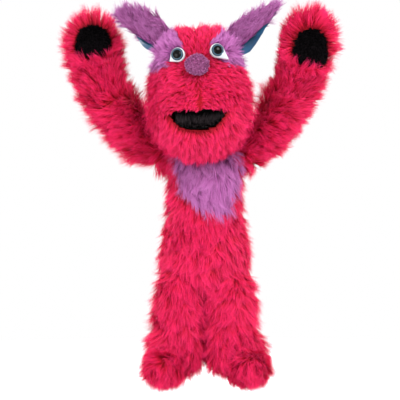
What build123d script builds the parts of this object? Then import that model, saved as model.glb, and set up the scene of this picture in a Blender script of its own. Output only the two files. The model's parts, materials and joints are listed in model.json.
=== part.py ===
from build123d import *
from math import acos, asin, cos, radians, sin, tan
import os

# Hand puppet with a moving mouth. Millimetres, +Z up, the face looks towards -Y.
# The origin is the centre of the hand opening at the lower back.
# Sides are seen from the front: "west" is -X and "east" is +X.
SIDES = {"west": -1, "east": 1}

# Cloth and plate thicknesses
head_pelt_wall = 6.0
torso_pelt_wall = 6.0
limb_pelt_wall = 5.0
pocket_wall = 1.6
lining_wall = 2.0
running_gap = 0.5

# Torso: a round body that widens to the hips, standing on the axis torso_y
torso_y = -40.0
torso_top_z = 145.0
torso_bottom_z = -23.0
chest_radius = 44.0
waist_radius = 45.5
hip_radius = 54.0
rump_radius = 48.0
seat_radius = 34.0
chest_z = 110.0
waist_z = 68.0
hip_line_z = 14.0
rump_z = -12.0
neckline_y = -47.0
neckline_z = 138.0
neckline_lean = 30.0
waist_seam_z = 58.0

# Sleeve for the forearm: up through the torso, out at the lower back
sleeve_radius = 34.5
hem_bore_radius = 34.0
hem_outer_radius = 38.0
hem_length = 12.0
cuff_radius = 41.0
cuff_length = 34.0
hem_tilt = 50.0
sleeve_bend_radius = 60.0
sleeve_top_rise = 4.0

# Neck: a ball-shaped cloth collar that the head turns and nods on
neck_x = -4.0
neck_y = -37.0
neck_z = 158.0
neck_radius = 38.0
neck_pelt_wall = 3.0
neck_lining_wall = 1.5
neck_opening_depth = 22.0
lower_opening_angle = -150.0
upper_opening_angle = 53.0

# Head, in its own frame: origin at the neck's centre, rolled to the east side up
head_roll = 3.5
head_axis_y = -52.0
head_middle_z = 57.0
crown = (30.0, 127.0)
temple = (46.0, 108.0)
eye_line = (55.0, 76.0)
cheek = (58.0, 42.0)
jowl = (53.0, 12.0)
chin = (38.0, -10.0)
crown_z = 132.0
chin_z = -18.0
nape_z = 10.0

# Mouth: two boards that spread from a hinge line at the back of the mouth
hinge_y = -37.0
hinge_z = 25.0
upper_mouth_angle = 10.0
lower_mouth_angle = 11.0
hinge_clear_radius = 6.0
jaw_clear_radius = 9.0
jaw_back_angle = 20.0
jaw_back_y = -39.0
mouth_lining_wall = 3.0
mouth_board_wall = 2.5
mouth_lining_radius = 56.5
mouth_board_radius = 51.0

# Hand pockets over and under the mouth boards
finger_pocket_radius = 41.0
finger_pocket_height = 30.0
thumb_pocket_radius = 24.0
thumb_pocket_height = 20.0
upper_board_back = -8.0
lower_board_back = -11.0
finger_pocket_back = 27.0
thumb_pocket_back = 8.0
open_back = 60.0

# Face
eye_x = 23.0
eye_z = 101.5
eye_asymmetry = 1.4
eye_seat_depth = 43.5
eye_tilt_back = 14.0
eye_turn_out = 22.0
eye_seat_length = 40.0
eye_radius = 11.0
eye_rim = 2.0
eye_bulge = 4.0
iris_radius = 7.2
pupil_radius = 5.0
iris_sink = 1.2
iris_wall = 1.4
pupil_wall = 1.9
pupil_edge = 0.8
shank_radius = 2.0
shank_length = 17.0
washer_radius = 6.0
washer_depth = 14.5
washer_wall = 1.6
washer_room = 0.5
shank_spare = 1.0
nose_depth = 57.0
nose_z = 87.5
nose_radius = 13.5
nose_cover_wall = 1.2
brow_x = 35.0
brow_z = 108.0
brow_half_width = 22.0
brow_half_height = 17.0
brow_turn = 30.0

# Ears
ear_root_x = 42.5
ear_root_y = -50.0
ear_root_z = 118.0
ear_angle = {"west": 38.0, "east": 33.0}
ear_length = 68.0
ear_root_width = 42.0
ear_lower_half = 17.2
ear_upper_half = 14.4
ear_fur_wall = 5.0
ear_satin_wall = 2.0
ear_start = 1.5
ear_satin_edge = 3.0

# Arms, held up beside the head
shoulder_x = 60.5
shoulder_z = 140.0
shoulder_radius = 21.0
upper_arm_length = 106.0
upper_arm_angle = {"west": 52.5, "east": 60.0}
upper_arm_radius = 27.0
elbow_radius = 26.0
elbow_trim = 20.0
forearm_angle = {"west": 78.0, "east": 77.0}
forearm_length = 54.0
paw_radius = 29.0
pad_half_width = 17.0
pad_half_height = 20.0

# Legs
hip = (31.0, -64.0, -32.0)
hip_ball_radius = 24.0
ankle = (34.0, -62.0, -96.0)
thigh_end_radius = 27.0
ankle_radius = 25.0
ankle_trim = 20.0
heel = (44.0, -68.0, -110.0)
heel_radius = 27.0
instep = (45.0, -70.0, -111.0)
instep_radius = 26.0
toe = (50.0, -98.0, -114.0)
toe_radius = 22.0

# Chest patch, seen from the front
patch_top_z = 147.0
patch_middle_z = 100.0
patch_bottom_z = 69.0
patch_left_x = -31.0
patch_right_x = 47.0
patch_tip_x = 20.0
patch_left_inset = 12.0
patch_right_inset = 5.0

# Sewn-in care label at the hem
label_width = 22.0
label_height = 14.0
label_wall = 0.8
label_drop = 2.0
label_corner = 1.5
tab_width = 16.0
tab_height = 6.0

os.makedirs("parts", exist_ok=True)

neck_centre = Vector(neck_x, neck_y, neck_z)
roll_x = Vector(cos(radians(head_roll)), 0, sin(radians(head_roll)))
roll_z = Vector(-sin(radians(head_roll)), 0, cos(radians(head_roll)))
head_plane = Plane(origin=neck_centre, x_dir=roll_x, z_dir=roll_z)
hem_out = Vector(0, sin(radians(hem_tilt)), -cos(radians(hem_tilt)))
hem_centre = Vector(0, 0, 0)


def in_head(x, y, z, turn_x=0.0, turn_z=0.0):
    """A place in the head's own frame."""
    return head_plane.location * Location((x, y, z)) * Rotation(turn_x, 0, turn_z)


def head_body(inset=0.0, mode=Mode.ADD):
    """The head as a turned solid, drawn smaller all round by the inset."""
    side = 1 - inset / cheek[0]
    rise = 1 - inset / (crown_z - head_middle_z)
    rows = [crown, temple, eye_line, cheek, jowl, chin]
    outline = [(r * side, head_middle_z + (z - head_middle_z) * rise) for r, z in rows]
    top = (0, head_middle_z + (crown_z - head_middle_z) * rise)
    bottom = (0, head_middle_z + (chin_z - head_middle_z) * rise)
    half_plane = Plane(in_head(0, head_axis_y, 0) * Plane.XZ.location)
    with BuildSketch(half_plane) as half:
        with BuildLine():
            Spline(top, *outline, bottom, tangents=((1, 0), (-1, 0)), tangent_scalars=(0.5, 0.5))
            Line(bottom, top)
        make_face()
    revolve(half.sketch, axis=Axis(half_plane.origin, roll_z), mode=mode)


def torso_body(inset=0.0, mode=Mode.ADD):
    """The torso as a turned solid, drawn smaller all round by the inset."""
    half_plane = Plane(origin=(0, torso_y, 0), x_dir=(1, 0, 0), z_dir=(0, -1, 0))
    low = torso_bottom_z + inset
    with BuildSketch(half_plane) as half:
        with BuildLine():
            Spline(
                (chest_radius - inset, torso_top_z),
                (chest_radius - inset, chest_z),
                (waist_radius - inset, waist_z),
                (hip_radius - inset, hip_line_z),
                (rump_radius - inset, rump_z),
                (seat_radius - inset, low),
            )
            Polyline(
                (seat_radius - inset, low),
                (0, low),
                (0, torso_top_z),
                (chest_radius - inset, torso_top_z),
            )
        make_face()
    revolve(half.sketch, axis=Axis((0, torso_y, 0), (0, 0, 1)), mode=mode)


def ball(centre, radius, mode=Mode.ADD):
    """A sphere at a place."""
    with Locations(Location(centre)):
        Sphere(radius, mode=mode)


def rod(start, end, radius, mode=Mode.ADD):
    """A round bar between two points."""
    along = Vector(*end) - Vector(*start)
    with Locations(Plane(origin=start, z_dir=along)):
        Cylinder(radius, along.length, align=(Align.CENTER, Align.CENTER, Align.MIN), mode=mode)


def limb(start, end, start_radius, end_radius, mode=Mode.ADD):
    """Two balls joined by the cone that touches both, turned as one solid."""
    along = Vector(*end) - Vector(*start)
    reach = along.length
    slope = asin((start_radius - end_radius) / reach)
    up = radians(45) + slope / 2
    down = radians(45) - slope / 2
    start_touch = (start_radius * cos(slope), start_radius * sin(slope))
    end_touch = (end_radius * cos(slope), reach + end_radius * sin(slope))
    start_middle = (start_radius * sin(up), -start_radius * cos(up))
    end_middle = (end_radius * sin(down), reach + end_radius * cos(down))
    half_plane = Plane(Plane(origin=start, z_dir=along).location * Plane.XZ.location)
    with BuildSketch(half_plane) as half:
        with BuildLine():
            ThreePointArc((0, -start_radius), start_middle, start_touch)
            Line(start_touch, end_touch)
            ThreePointArc(end_touch, end_middle, (0, reach + end_radius))
            Line((0, reach + end_radius), (0, -start_radius))
        make_face()
    revolve(half.sketch, axis=Axis(start, along), mode=mode)


def limb_stump(start, end, start_radius, end_radius, stop, cup=0.0):
    """A limb from its ball at the start to a square end before the joint, hollowed by a cup."""
    along = Vector(*end) - Vector(*start)
    reach = along.length
    slope = asin((start_radius - end_radius) / reach)
    up = radians(45) + slope / 2
    start_touch = (start_radius * cos(slope), start_radius * sin(slope))
    start_middle = (start_radius * sin(up), -start_radius * cos(up))
    height = reach - stop
    rim = (start_touch[0] - (height - start_touch[1]) * tan(slope), height)
    half_plane = Plane(Plane(origin=start, z_dir=along).location * Plane.XZ.location)
    with BuildSketch(half_plane) as half:
        with BuildLine():
            ThreePointArc((0, -start_radius), start_middle, start_touch)
            Line(start_touch, rim)
            if cup > 0:
                lip = acos(stop / cup)
                ThreePointArc(
                    (cup * sin(lip), height),
                    (cup * sin(lip / 2), reach - cup * cos(lip / 2)),
                    (0, reach - cup),
                )
                Line(rim, (cup * sin(lip), height))
                Line((0, reach - cup), (0, -start_radius))
            else:
                Line(rim, (0, height))
                Line((0, height), (0, -start_radius))
        make_face()
    revolve(half.sketch, axis=Axis(start, along))


def mouth_plane(angle, lift):
    """A plane through the mouth hinge that leans up by the angle and is lifted off the mouth."""
    return Plane(in_head(0, hinge_y, hinge_z, turn_x=-angle) * Location((0, 0, lift)))


def mouth_plate(angle, lift, wall, radius, back, mode=Mode.ADD):
    """A D-shaped plate: a half circle at the front and straight sides to the back edge."""
    middle = head_axis_y - hinge_y
    with BuildSketch(mouth_plane(angle, lift)) as plan:
        with Locations((0, middle)):
            Circle(radius)
        with Locations((0, (back + middle) / 2)):
            Rectangle(2 * radius, abs(back - middle))
        with Locations((0, back)):
            Rectangle(3 * radius, 4 * radius, align=(Align.CENTER, Align.MIN), mode=Mode.SUBTRACT)
    extrude(plan.sketch, amount=wall, mode=mode)


def hinge_bar(radius, mode=Mode.SUBTRACT):
    """A bar along the mouth hinge."""
    with Locations(in_head(0, hinge_y, hinge_z) * Rotation(0, 90, 0)):
        Cylinder(radius, 4 * cheek[0], mode=mode)


def keep_above_mouth(lift):
    """Keep what lies over the upper side of the mouth, and behind the hinge over the nape."""
    drop = 3 * cheek[0]
    with BuildSketch(mouth_plane(upper_mouth_angle, lift)) as front:
        Rectangle(4 * cheek[0], drop, align=(Align.CENTER, Align.MAX))
    extrude(front.sketch, amount=-drop, mode=Mode.SUBTRACT)
    with BuildSketch(Plane(in_head(0, hinge_y, nape_z))) as back:
        Rectangle(4 * cheek[0], 4 * cheek[0])
    extrude(back.sketch, amount=-drop, mode=Mode.SUBTRACT)
    hinge_bar(hinge_clear_radius)


def keep_below_mouth(lift):
    """Keep what lies under the lower side of the mouth and ahead of the hinge."""
    split(bisect_by=mouth_plane(-lower_mouth_angle, -lift), keep=Keep.BOTTOM)
    split(
        bisect_by=Plane(in_head(0, jaw_back_y, hinge_z, turn_x=-jaw_back_angle) * Plane.XZ.location),
        keep=Keep.TOP,
    )
    hinge_bar(jaw_clear_radius)


def clear_neck(extra):
    """Room for the neck ball."""
    ball(neck_centre, neck_radius + extra, mode=Mode.SUBTRACT)


def eye_plane(side):
    """Where an eye sits: on the head's surface, looking forward and a little outward."""
    out = SIDES[side]
    place = in_head(out * eye_x, head_axis_y - eye_seat_depth, eye_z + out * eye_asymmetry)
    return Plane(place * Rotation(90, 0, 0) * Rotation(-eye_tilt_back, eye_turn_out * out, 0))


def brow_outline(side, mode=Mode.INTERSECT):
    """An oval prism through the front of the head round one eye."""
    out = SIDES[side]
    front = Plane(in_head(out * brow_x, head_axis_y, brow_z) * Rotation(90, 0, 0))
    with BuildSketch(front) as oval:
        Ellipse(brow_half_width, brow_half_height, rotation=brow_turn * out)
    extrude(oval.sketch, amount=2 * cheek[0], mode=mode)


def brow_room():
    """The openings that the brow patches fill in the head pelt."""
    for side in SIDES:
        brow_outline(side, mode=Mode.SUBTRACT)


def shank_holes(radius, depth):
    """Holes along both eye shanks."""
    for side in SIDES:
        seat = eye_plane(side)
        with Locations(seat):
            Cylinder(radius, depth, align=(Align.CENTER, Align.CENTER, Align.MAX), mode=Mode.SUBTRACT)


def eye_seats():
    """Shallow seats under both eyes."""
    for side in SIDES:
        with Locations(eye_plane(side)):
            Cylinder(
                eye_radius,
                eye_seat_length,
                align=(Align.CENTER, Align.CENTER, Align.MIN),
                mode=Mode.SUBTRACT,
            )


def nose_centre():
    """The middle of the nose ball, half sunk in the muzzle."""
    return in_head(0, head_axis_y - nose_depth, nose_z).position


def finish(part, name):
    """Label one piece and write it to its own file."""
    part.label = name
    export_step(part, f"parts/{name}.step")


# Torso

hem_inner_end = hem_centre - hem_out * cuff_length
sleeve_start = hem_centre - hem_out * hem_length
bend_reach = -torso_y / sin(radians(hem_tilt))
sleeve_corner = hem_centre - hem_out * bend_reach
sleeve_top = Vector(0, torso_y, torso_top_z + sleeve_top_rise)


def sleeve_bar(radius, mode):
    """A bent bar along the path that the forearm takes."""
    with BuildLine() as path:
        FilletPolyline(sleeve_start, sleeve_corner, sleeve_top, radius=sleeve_bend_radius)
    with BuildSketch(Plane(origin=sleeve_start, z_dir=-hem_out)) as ring:
        Circle(radius)
    sweep(ring.sketch, path=path.line, mode=mode)


def torso_cups():
    """Hollows for the neck, the shoulders and the hips, and the neckline's forward slope."""
    clear_neck(running_gap)
    for out in SIDES.values():
        ball((out * shoulder_x, torso_y, shoulder_z), shoulder_radius + running_gap, mode=Mode.SUBTRACT)
        ball((out * hip[0], hip[1], hip[2]), hip_ball_radius + running_gap, mode=Mode.SUBTRACT)
    neckline = Plane(Location((0, neckline_y, neckline_z)) * Rotation(neckline_lean, 0, 0))
    with BuildSketch(neckline) as slope:
        Rectangle(4 * hip_radius, 2 * chest_radius, align=(Align.CENTER, Align.MAX))
    extrude(slope.sketch, amount=2 * chest_radius, mode=Mode.SUBTRACT)


def cut_at_hem(inset):
    """Cut off what lies beyond the hem's plane, moved inward by the inset."""
    split(bisect_by=Plane(origin=hem_centre - hem_out * inset, z_dir=hem_out), keep=Keep.BOTTOM)


with BuildPart() as torso_core:
    torso_body(torso_pelt_wall)
    cut_at_hem(torso_pelt_wall)


# The whole torso skin with its cuff, cavity and openings
with BuildPart() as torso_skin:
    torso_body()
    cut_at_hem(0)
    rod(hem_centre, hem_inner_end, cuff_radius)
    add(torso_core.part, mode=Mode.SUBTRACT)
    rod(hem_centre, hem_inner_end, hem_outer_radius, mode=Mode.SUBTRACT)
    torso_cups()


def patch_prism(mode):
    """The chest patch's outline carried through the front of the torso."""
    with BuildSketch(Plane(origin=(0, torso_y, 0), x_dir=(1, 0, 0), z_dir=(0, -1, 0))) as outline:
        with BuildLine():
            Spline(
                (patch_left_x, patch_top_z),
                (patch_left_x + patch_left_inset, patch_middle_z),
                (patch_tip_x, patch_bottom_z),
                (patch_right_x - patch_right_inset, patch_middle_z),
                (patch_right_x, patch_top_z),
            )
            Line((patch_right_x, patch_top_z), (patch_left_x, patch_top_z))
        make_face()
    extrude(outline.sketch, amount=2 * hip_radius, mode=mode)


side_seam = Plane(origin=(0, torso_y, 0), z_dir=(0, -1, 0))
waist_seam = Plane(origin=(0, 0, waist_seam_z), z_dir=(0, 0, 1))
centre_seam = Plane(origin=(0, 0, 0), z_dir=(1, 0, 0))

for level, kept in {"upper": Keep.TOP, "lower": Keep.BOTTOM}.items():
    with BuildPart() as torso_pelt_front:
        add(torso_skin.part)
        split(bisect_by=side_seam, keep=Keep.TOP)
        split(bisect_by=waist_seam, keep=kept)
        patch_prism(Mode.SUBTRACT)
    finish(torso_pelt_front.part, f"torso_pelt_front_{level}")

    with BuildPart() as torso_pelt_back:
        add(torso_skin.part)
        split(bisect_by=side_seam, keep=Keep.BOTTOM)
        split(bisect_by=waist_seam, keep=kept)
    finish(torso_pelt_back.part, f"torso_pelt_back_{level}")

with BuildPart() as chest_patch:
    add(torso_skin.part)
    patch_prism(Mode.INTERSECT)
finish(chest_patch.part, "chest_patch")

for side, kept in {"west": Keep.BOTTOM, "east": Keep.TOP}.items():
    with BuildPart() as torso_stuffing:
        add(torso_core.part)
        split(bisect_by=waist_seam, keep=Keep.BOTTOM)
        rod(hem_centre, hem_inner_end, hem_outer_radius, mode=Mode.SUBTRACT)
        sleeve_bar(sleeve_radius + lining_wall, Mode.SUBTRACT)
        torso_cups()
        split(bisect_by=centre_seam, keep=kept)
    finish(torso_stuffing.part, f"torso_stuffing_{side}")

with BuildPart() as sleeve_lining:
    sleeve_bar(sleeve_radius + lining_wall, Mode.ADD)
    sleeve_bar(sleeve_radius, Mode.SUBTRACT)
    torso_cups()
finish(sleeve_lining.part, "sleeve_lining")

with BuildPart() as hem_band:
    rod(hem_centre, sleeve_start, hem_outer_radius)
    rod(hem_centre, sleeve_start, hem_bore_radius, mode=Mode.SUBTRACT)
finish(hem_band.part, "hem_band")

hem_up = Vector(0, cos(radians(hem_tilt)), sin(radians(hem_tilt)))
label_plane = Plane(origin=hem_centre + hem_up * cuff_radius, x_dir=(1, 0, 0), z_dir=hem_up)
with BuildPart() as care_label:
    with BuildSketch(label_plane) as label_shape:
        with Locations((0, -label_drop)):
            RectangleRounded(label_width, label_height, label_corner)
    extrude(label_shape.sketch, amount=label_wall)
    with BuildSketch(label_plane) as label_tab:
        Rectangle(tab_width, tab_height)
    extrude(label_tab.sketch, amount=-label_wall)
    rod(hem_centre, hem_inner_end, cuff_radius, mode=Mode.SUBTRACT)
finish(care_label.part, "care_label")

# Neck

lower_opening = Plane(
    Location(neck_centre) * Rotation(lower_opening_angle, 0, 0) * Location((0, 0, neck_opening_depth))
)
upper_opening = Plane(
    Location(neck_centre) * Rotation(upper_opening_angle, 0, 0) * Location((0, 0, neck_opening_depth))
)


def neck_shell(outer, inner):
    """A ball-shaped shell, open towards the torso and towards the hand pockets."""
    ball(neck_centre, outer)
    ball(neck_centre, inner, mode=Mode.SUBTRACT)
    split(bisect_by=lower_opening, keep=Keep.BOTTOM)
    split(bisect_by=upper_opening, keep=Keep.BOTTOM)


with BuildPart() as neck_pelt:
    neck_shell(neck_radius, neck_radius - neck_pelt_wall)
finish(neck_pelt.part, "neck_pelt")

with BuildPart() as neck_lining:
    inner = neck_radius - neck_pelt_wall
    neck_shell(inner, inner - neck_lining_wall)
finish(neck_lining.part, "neck_lining")

# Head

pelt_lift = mouth_lining_wall
pocket_lift = mouth_lining_wall + mouth_board_wall


def head_pelt():
    """The whole head skin above the mouth."""
    head_body()
    head_body(head_pelt_wall, mode=Mode.SUBTRACT)
    keep_above_mouth(pelt_lift)
    clear_neck(running_gap)
    ball(nose_centre(), nose_radius, mode=Mode.SUBTRACT)
    eye_seats()
    shank_holes(shank_radius, shank_length)


with BuildPart() as head_pelt_front:
    head_pelt()
    brow_room()
    split(bisect_by=Plane(in_head(0, head_axis_y, 0) * Rotation(90, 0, 0)), keep=Keep.TOP)
finish(head_pelt_front.part, "head_pelt_front")

with BuildPart() as head_pelt_back:
    head_pelt()
    split(bisect_by=Plane(in_head(0, head_axis_y, 0) * Rotation(90, 0, 0)), keep=Keep.BOTTOM)
finish(head_pelt_back.part, "head_pelt_back")

for side in SIDES:
    with BuildPart() as brow:
        head_pelt()
        split(bisect_by=Plane(in_head(0, head_axis_y, 0) * Rotation(90, 0, 0)), keep=Keep.TOP)
        brow_outline(side)
    finish(brow.part, f"brow_{side}")

with BuildPart() as head_stuffing:
    head_body(head_pelt_wall)
    keep_above_mouth(pelt_lift)
    mouth_plate(
        upper_mouth_angle,
        pelt_lift,
        mouth_board_wall,
        mouth_board_radius,
        upper_board_back,
        mode=Mode.SUBTRACT,
    )
    mouth_plate(
        upper_mouth_angle,
        pocket_lift,
        finger_pocket_height,
        finger_pocket_radius,
        finger_pocket_back,
        mode=Mode.SUBTRACT,
    )
    clear_neck(running_gap)
    ball(nose_centre(), nose_radius, mode=Mode.SUBTRACT)
    shank_holes(washer_radius + washer_room, shank_length + shank_spare)
    eye_seats()
finish(head_stuffing.part, "head_stuffing")

with BuildPart() as finger_pocket:
    mouth_plate(
        upper_mouth_angle, pocket_lift, finger_pocket_height, finger_pocket_radius, finger_pocket_back
    )
    mouth_plate(
        upper_mouth_angle,
        pocket_lift + pocket_wall,
        finger_pocket_height - 2 * pocket_wall,
        finger_pocket_radius - pocket_wall,
        open_back,
        mode=Mode.SUBTRACT,
    )
    head_body(head_pelt_wall, mode=Mode.INTERSECT)
    clear_neck(running_gap)
    hinge_bar(hinge_clear_radius)
finish(finger_pocket.part, "finger_pocket")

with BuildPart() as upper_mouth_board:
    mouth_plate(upper_mouth_angle, pelt_lift, mouth_board_wall, mouth_board_radius, upper_board_back)
    head_body(head_pelt_wall, mode=Mode.INTERSECT)
finish(upper_mouth_board.part, "upper_mouth_board")

with BuildPart() as upper_mouth_lining:
    mouth_plate(upper_mouth_angle, 0, mouth_lining_wall, mouth_lining_radius, upper_board_back)
    head_body(mode=Mode.INTERSECT)
finish(upper_mouth_lining.part, "upper_mouth_lining")

for side in SIDES:
    seat = eye_plane(side)
    with BuildPart() as eye_white:
        with BuildSketch(seat) as rim:
            Circle(eye_radius)
        extrude(rim.sketch, amount=eye_rim)
        dome = (eye_radius**2 + eye_bulge**2) / (2 * eye_bulge)
        with Locations(seat.offset(eye_rim + eye_bulge - dome)):
            Sphere(dome)
        split(bisect_by=seat, keep=Keep.TOP)
        with BuildSketch(seat) as guard:
            Circle(eye_radius)
        extrude(guard.sketch, amount=eye_seat_length, mode=Mode.INTERSECT)
        with BuildSketch(seat.offset(eye_rim + eye_bulge - iris_sink)) as iris_room:
            Circle(iris_radius)
        extrude(iris_room.sketch, amount=eye_seat_length, mode=Mode.SUBTRACT)
        with BuildSketch(seat) as shank:
            Circle(shank_radius)
        extrude(shank.sketch, amount=-(shank_length - shank_spare))
    finish(eye_white.part, f"eye_white_{side}")

    with BuildPart() as iris:
        with BuildSketch(seat.offset(eye_rim + eye_bulge - iris_sink)) as iris_ring:
            Circle(iris_radius)
            Circle(pupil_radius, mode=Mode.SUBTRACT)
        extrude(iris_ring.sketch, amount=iris_wall)
    finish(iris.part, f"iris_{side}")

    with BuildPart() as pupil:
        with BuildSketch(seat.offset(eye_rim + eye_bulge - iris_sink)) as pupil_disc:
            Circle(pupil_radius)
        extrude(pupil_disc.sketch, amount=pupil_wall)
        fillet(pupil.faces().sort_by(Axis(seat.origin, seat.z_dir))[-1].edges(), pupil_edge)
    finish(pupil.part, f"pupil_{side}")

    with BuildPart() as eye_washer:
        with BuildSketch(seat.offset(-washer_depth)) as washer_ring:
            Circle(washer_radius)
            Circle(shank_radius, mode=Mode.SUBTRACT)
        extrude(washer_ring.sketch, amount=washer_wall)
    finish(eye_washer.part, f"eye_washer_{side}")

with BuildPart() as nose_cover:
    ball(nose_centre(), nose_radius)
    ball(nose_centre(), nose_radius - nose_cover_wall, mode=Mode.SUBTRACT)
finish(nose_cover.part, "nose_cover")

with BuildPart() as nose_filling:
    ball(nose_centre(), nose_radius - nose_cover_wall)
finish(nose_filling.part, "nose_filling")

# Ears


def ear_plane(side):
    """The ear's own plane: x runs from root to tip and z faces the front."""
    out = SIDES[side]
    root = in_head(out * ear_root_x, ear_root_y, ear_root_z)
    lean = ear_angle[side]
    along = Vector(out * cos(radians(lean)), 0, sin(radians(lean)))
    along = roll_x * along.X + roll_z * along.Z
    return Plane(origin=root.position, x_dir=along, z_dir=(0, -1, 0))


def ear_leaf(side, offset, wall, lower_extra):
    """A leaf shape from the root line to the tip, wider on its lower edge by the extra."""
    plane = ear_plane(side).offset(offset)
    lower = -SIDES[side]
    half_root = ear_root_width / 2
    with BuildSketch(plane) as leaf:
        with BuildLine():
            Spline(
                (ear_start, lower * (half_root + lower_extra)),
                (0.5 * ear_length, lower * (ear_lower_half + lower_extra)),
                (ear_length, 0),
                (0.55 * ear_length, -lower * ear_upper_half),
                (ear_start, -lower * half_root),
            )
            Line((ear_start, -lower * half_root), (ear_start, lower * (half_root + lower_extra)))
        make_face()
    extrude(leaf.sketch, amount=wall)


for side in SIDES:
    with BuildPart() as ear_fur:
        ear_leaf(side, 0, ear_fur_wall, 0)
    finish(ear_fur.part, f"ear_fur_{side}")
    with BuildPart() as ear_satin:
        ear_leaf(side, -ear_satin_wall, ear_satin_wall, ear_satin_edge)
    finish(ear_satin.part, f"ear_satin_{side}")

# Jaw

with BuildPart() as jaw_pelt:
    head_body()
    head_body(head_pelt_wall, mode=Mode.SUBTRACT)
    keep_below_mouth(mouth_lining_wall)
finish(jaw_pelt.part, "jaw_pelt")

with BuildPart() as jaw_stuffing:
    head_body(head_pelt_wall)
    keep_below_mouth(mouth_lining_wall)
    mouth_plate(
        -lower_mouth_angle,
        -pocket_lift,
        mouth_board_wall,
        mouth_board_radius,
        lower_board_back,
        mode=Mode.SUBTRACT,
    )
    mouth_plate(
        -lower_mouth_angle,
        -pocket_lift - thumb_pocket_height,
        thumb_pocket_height,
        thumb_pocket_radius,
        thumb_pocket_back,
        mode=Mode.SUBTRACT,
    )
finish(jaw_stuffing.part, "jaw_stuffing")

with BuildPart() as thumb_pocket:
    mouth_plate(
        -lower_mouth_angle,
        -pocket_lift - thumb_pocket_height,
        thumb_pocket_height,
        thumb_pocket_radius,
        thumb_pocket_back,
    )
    mouth_plate(
        -lower_mouth_angle,
        -pocket_lift - thumb_pocket_height + pocket_wall,
        thumb_pocket_height - 2 * pocket_wall,
        thumb_pocket_radius - pocket_wall,
        open_back,
        mode=Mode.SUBTRACT,
    )
    keep_below_mouth(mouth_lining_wall)
finish(thumb_pocket.part, "thumb_pocket")

with BuildPart() as lower_mouth_board:
    mouth_plate(-lower_mouth_angle, -pocket_lift, mouth_board_wall, mouth_board_radius, lower_board_back)
    head_body(head_pelt_wall, mode=Mode.INTERSECT)
finish(lower_mouth_board.part, "lower_mouth_board")

with BuildPart() as lower_mouth_lining:
    mouth_plate(
        -lower_mouth_angle, -mouth_lining_wall, mouth_lining_wall, mouth_lining_radius, lower_board_back
    )
    head_body(mode=Mode.INTERSECT)
finish(lower_mouth_lining.part, "lower_mouth_lining")

# Arms and legs


def arm_points(side):
    """Shoulder, elbow and paw centres of one arm."""
    out = SIDES[side]
    raise_angle = radians(upper_arm_angle[side])
    lean = radians(forearm_angle[side])
    shoulder = Vector(out * shoulder_x, torso_y, shoulder_z)
    elbow = shoulder + Vector(out * cos(raise_angle), 0, sin(raise_angle)) * upper_arm_length
    paw = elbow + Vector(out * cos(lean), 0, sin(lean)) * forearm_length
    return shoulder, elbow, paw


def forearm_shape(side, inset, mode=Mode.ADD):
    """Ball at the elbow, a short bar and a rounded paw."""
    elbow, paw = arm_points(side)[1:]
    limb(elbow, paw, elbow_radius - inset, paw_radius - inset, mode=mode)


def pad_prism(side, mode):
    """The oval of the palm pad carried through the paw's front."""
    paw = arm_points(side)[2]
    front = Plane(origin=paw, x_dir=(1, 0, 0), z_dir=(0, -1, 0))
    with BuildSketch(front) as oval:
        Ellipse(pad_half_width, pad_half_height)
    extrude(oval.sketch, amount=2 * paw_radius, mode=mode)


for side in SIDES:
    shoulder, elbow = arm_points(side)[:2]
    start_inner = shoulder_radius - limb_pelt_wall
    end_inner = upper_arm_radius - limb_pelt_wall
    elbow_cup = elbow_radius + running_gap
    with BuildPart() as upper_arm_stuffing:
        limb_stump(shoulder, elbow, start_inner, end_inner, elbow_cup + limb_pelt_wall)
    finish(upper_arm_stuffing.part, f"upper_arm_stuffing_{side}")

    with BuildPart() as upper_arm_pelt:
        limb_stump(shoulder, elbow, shoulder_radius, upper_arm_radius, elbow_trim, cup=elbow_cup)
        add(upper_arm_stuffing.part, mode=Mode.SUBTRACT)
    finish(upper_arm_pelt.part, f"upper_arm_pelt_{side}")

    with BuildPart() as forearm_stuffing:
        forearm_shape(side, limb_pelt_wall)
    finish(forearm_stuffing.part, f"forearm_stuffing_{side}")

    with BuildPart() as forearm_pelt:
        forearm_shape(side, 0)
        forearm_shape(side, limb_pelt_wall, mode=Mode.SUBTRACT)
        pad_prism(side, Mode.SUBTRACT)
    finish(forearm_pelt.part, f"forearm_pelt_{side}")

    with BuildPart() as paw_pad:
        forearm_shape(side, 0)
        forearm_shape(side, limb_pelt_wall, mode=Mode.SUBTRACT)
        pad_prism(side, Mode.INTERSECT)
    finish(paw_pad.part, f"paw_pad_{side}")


def leg_point(side, place):
    """A place on one leg, given for the east side."""
    x, y, z = place
    return Vector(SIDES[side] * x, y, z)


def foot_shape(side, inset, mode=Mode.ADD):
    """Ball at the ankle, a round heel and a toe that points forward and outward."""
    heel_start = leg_point(side, ankle)
    heel_end = leg_point(side, heel)
    toe_start = leg_point(side, instep)
    toe_end = leg_point(side, toe)
    limb(heel_start, heel_end, ankle_radius - inset, heel_radius - inset, mode=mode)
    limb(toe_start, toe_end, instep_radius - inset, toe_radius - inset, mode=mode)


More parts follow.
